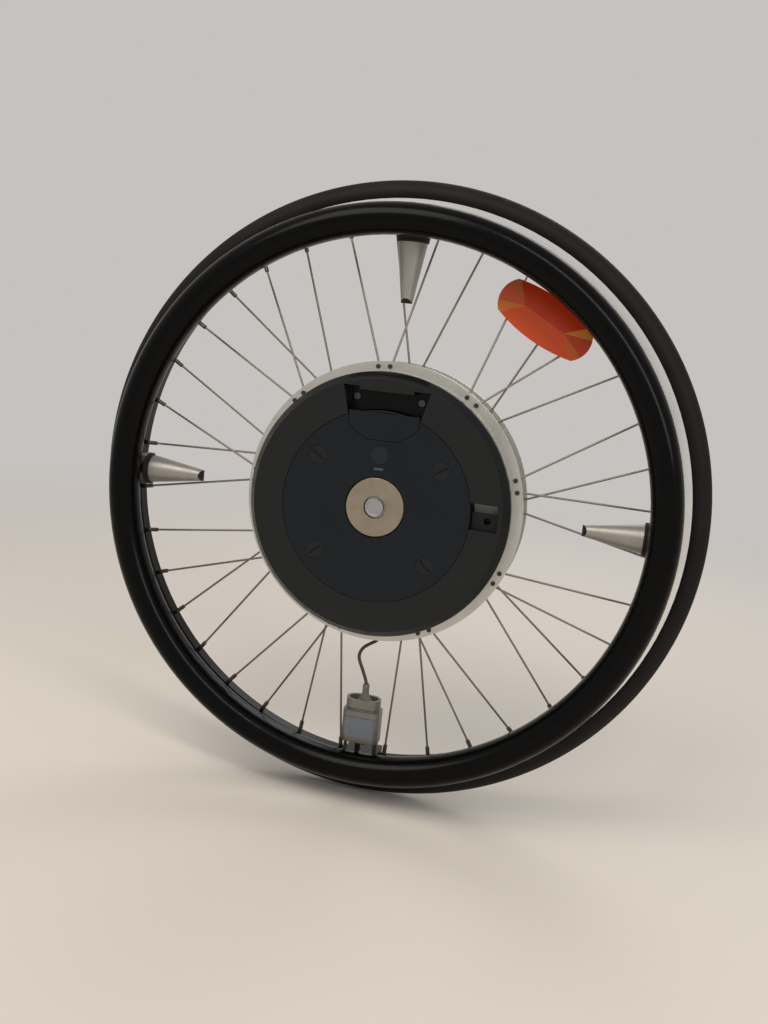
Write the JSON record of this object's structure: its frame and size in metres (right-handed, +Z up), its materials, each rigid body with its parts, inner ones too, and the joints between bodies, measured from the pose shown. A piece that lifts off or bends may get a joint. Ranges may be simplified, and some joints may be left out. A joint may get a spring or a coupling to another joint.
{
  "type": "wheelchair power-assist drive wheel",
  "caption": "Spoked wheelchair wheel with a drum hub motor, slide-in battery pack, sensing push rim on spring brackets, amber reflector and quick-release axle.",
  "frame": {"origin": "on the axle's axis, at the seat where the torque plate meets the chair's receiver", "axes": "+Y along the axle towards the chair, +Z up, -Y outwards to the push rim and the lid; +X is to the right seen from outside"},
  "size_m": [0.5899, 0.1675, 0.5898],
  "materials": {
    "tyre_rubber": "matt moulded",
    "black_coated_aluminium": "gloss black coat",
    "polished_aluminium": "polished",
    "brushed_aluminium": "turned, fine satin",
    "champagne_aluminium": "satin anodised",
    "cast_aluminium": "as cast",
    "black_cast_aluminium": "satin black powder coat",
    "dark_cast_aluminium": "satin dark coat",
    "silver_paint": "satin silver",
    "charcoal_plastic": "fine moulded grain",
    "lid_plastic": "fine moulded grain",
    "black_plastic": "moulded",
    "lock_plastic": "moulded",
    "gland_plastic": "moulded",
    "button_rubber": "matt",
    "seal_rubber": "matt",
    "cable_jacket": "matt",
    "satin_steel": "fine ground",
    "machined_steel": "turned",
    "bearing_steel": "lapped",
    "lamination_steel": "stacked sheets",
    "spring_steel": "drawn",
    "screw_steel": "zinc plated",
    "black_screw_steel": "black oxide",
    "stainless_wire": "drawn bright",
    "nickel_plate": "nickel plated",
    "contact_brass": "gold flash",
    "copper_wire": "enamelled",
    "circuit_board": "solder mask",
    "cell_wrap": "shrink wrap",
    "amber_lens": "clear moulded amber",
    "amber_back": "moulded amber",
    "sensor_glaze": "smooth",
    "light_window": "smooth"
  },
  "bodies": {
    "axle_unit": {"quick_release_axle": "satin_steel", "hub_spindle": "machined_steel", "torque_plate": "machined_steel", "torque_studs": "satin_steel", "magnet_carrier": "machined_steel", "rotor_magnets": "nickel_plate", "bearing_inner_rings": "bearing_steel", "bearing_balls": "bearing_steel"},
    "wheel": {"bearing_outer_rings": "bearing_steel", "rear_seal": "seal_rubber", "hub_ring": "brushed_aluminium", "rear_housing": "black_cast_aluminium", "rear_screws": "black_screw_steel", "bulkhead": "cast_aluminium", "stator_core": "lamination_steel", "stator_windings": "copper_wire", "control_board": "circuit_board", "contact_block": "black_plastic", "cover_ring": "charcoal_plastic", "cover_screws": "screw_steel", "charging_socket": "black_plastic", "centre_disc": "champagne_aluminium", "spokes_front": "stainless_wire", "spokes_rear": "stainless_wire", "spoke_nipples": "nickel_plate", "rim": "polished_aluminium", "tyre": "tyre_rubber", "reflector_lens": "amber_lens", "reflector_back": "amber_back", "spring_housings": "silver_paint", "housing_screws": "screw_steel", "centring_springs": "spring_steel", "sensor_housing": "silver_paint", "sensor_window": "sensor_glaze", "sensor_gland": "gland_plastic", "sensor_cable": "cable_jacket", "sensor_board": "circuit_board"},
    "push_rim_unit": {"push_rim": "black_coated_aluminium", "push_rim_arms": "dark_cast_aluminium", "arm_bolts": "screw_steel"},
    "battery_pack": {"battery_lid": "lid_plastic", "battery_tray": "black_plastic", "battery_cells": "cell_wrap", "cell_links": "nickel_plate", "battery_contacts": "contact_brass", "lid_gasket": "seal_rubber", "button_switch": "black_plastic", "status_light": "light_window", "handle_pin": "satin_steel"},
    "handle_flap": {"handle": "lid_plastic"},
    "lock_1": {"lock_upper_right": "lock_plastic"},
    "lock_2": {"lock_upper_left": "lock_plastic"},
    "lock_3": {"lock_lower_left": "lock_plastic"},
    "lock_4": {"lock_lower_right": "lock_plastic"},
    "button": {"power_button": "button_rubber"},
    "release": {"release_button": "satin_steel", "release_rod": "satin_steel", "release_spring": "spring_steel"},
    "ball_right": {"lock_ball_right": "bearing_steel"},
    "ball_left": {"lock_ball_left": "bearing_steel"}
  },
  "joints": [
    {"name": "wheel_spin", "type": "hinge", "parent": "axle_unit", "child": "wheel", "pos_m": [0, 0, 0], "axis": [0, -1, 0], "continuous": true},
    {"name": "push_rim_turn", "type": "hinge", "parent": "wheel", "child": "push_rim_unit", "pos_m": [0, -0.088, 0], "axis": [0, -1, 0], "range_deg": [-1.2, 1.2], "stiffness_Nm_per_rad": 200},
    {"name": "battery_slide", "type": "slide", "parent": "wheel", "child": "battery_pack", "axis": [0, -1, 0], "range_m": [0, 0.07]},
    {"name": "handle_flip", "type": "hinge", "parent": "battery_pack", "child": "handle_flap", "pos_m": [0, -0.1012, 0.0615], "axis": [1, 0, 0], "range_deg": [0, 75]},
    {"name": "lock_1_turn", "type": "hinge", "parent": "battery_pack", "child": "lock_1", "pos_m": [0.05699, -0.102, 0.04065], "axis": [0, -1, 0], "range_deg": [0, 90]},
    {"name": "lock_2_turn", "type": "hinge", "parent": "battery_pack", "child": "lock_2", "pos_m": [-0.05699, -0.102, 0.04065], "axis": [0, -1, 0], "range_deg": [0, 90]},
    {"name": "lock_3_turn", "type": "hinge", "parent": "battery_pack", "child": "lock_3", "pos_m": [-0.05202, -0.102, -0.04684], "axis": [0, -1, 0], "range_deg": [0, 90]},
    {"name": "lock_4_turn", "type": "hinge", "parent": "battery_pack", "child": "lock_4", "pos_m": [0.05202, -0.102, -0.04684], "axis": [0, -1, 0], "range_deg": [0, 90]},
    {"name": "button_press", "type": "slide", "parent": "battery_pack", "child": "button", "axis": [0, 1, 0], "range_m": [0, 0.001], "stiffness_N_per_m": 600},
    {"name": "release_press", "type": "slide", "parent": "axle_unit", "child": "release", "axis": [0, 1, 0], "range_m": [0, 0.005], "stiffness_N_per_m": 800, "deforming": ["release_spring"]},
    {"name": "ball_right_in", "type": "slide", "parent": "axle_unit", "child": "ball_right", "axis": [-1, 0, 0], "range_m": [0, 0.00096]},
    {"name": "ball_left_in", "type": "slide", "parent": "axle_unit", "child": "ball_left", "axis": [1, 0, 0], "range_m": [0, 0.00096]}
  ],
  "couplings": [
    {"joint": "ball_right_in", "follows": "release_press", "ratio": 0.19},
    {"joint": "ball_left_in", "follows": "release_press", "ratio": 0.19}
  ]
}
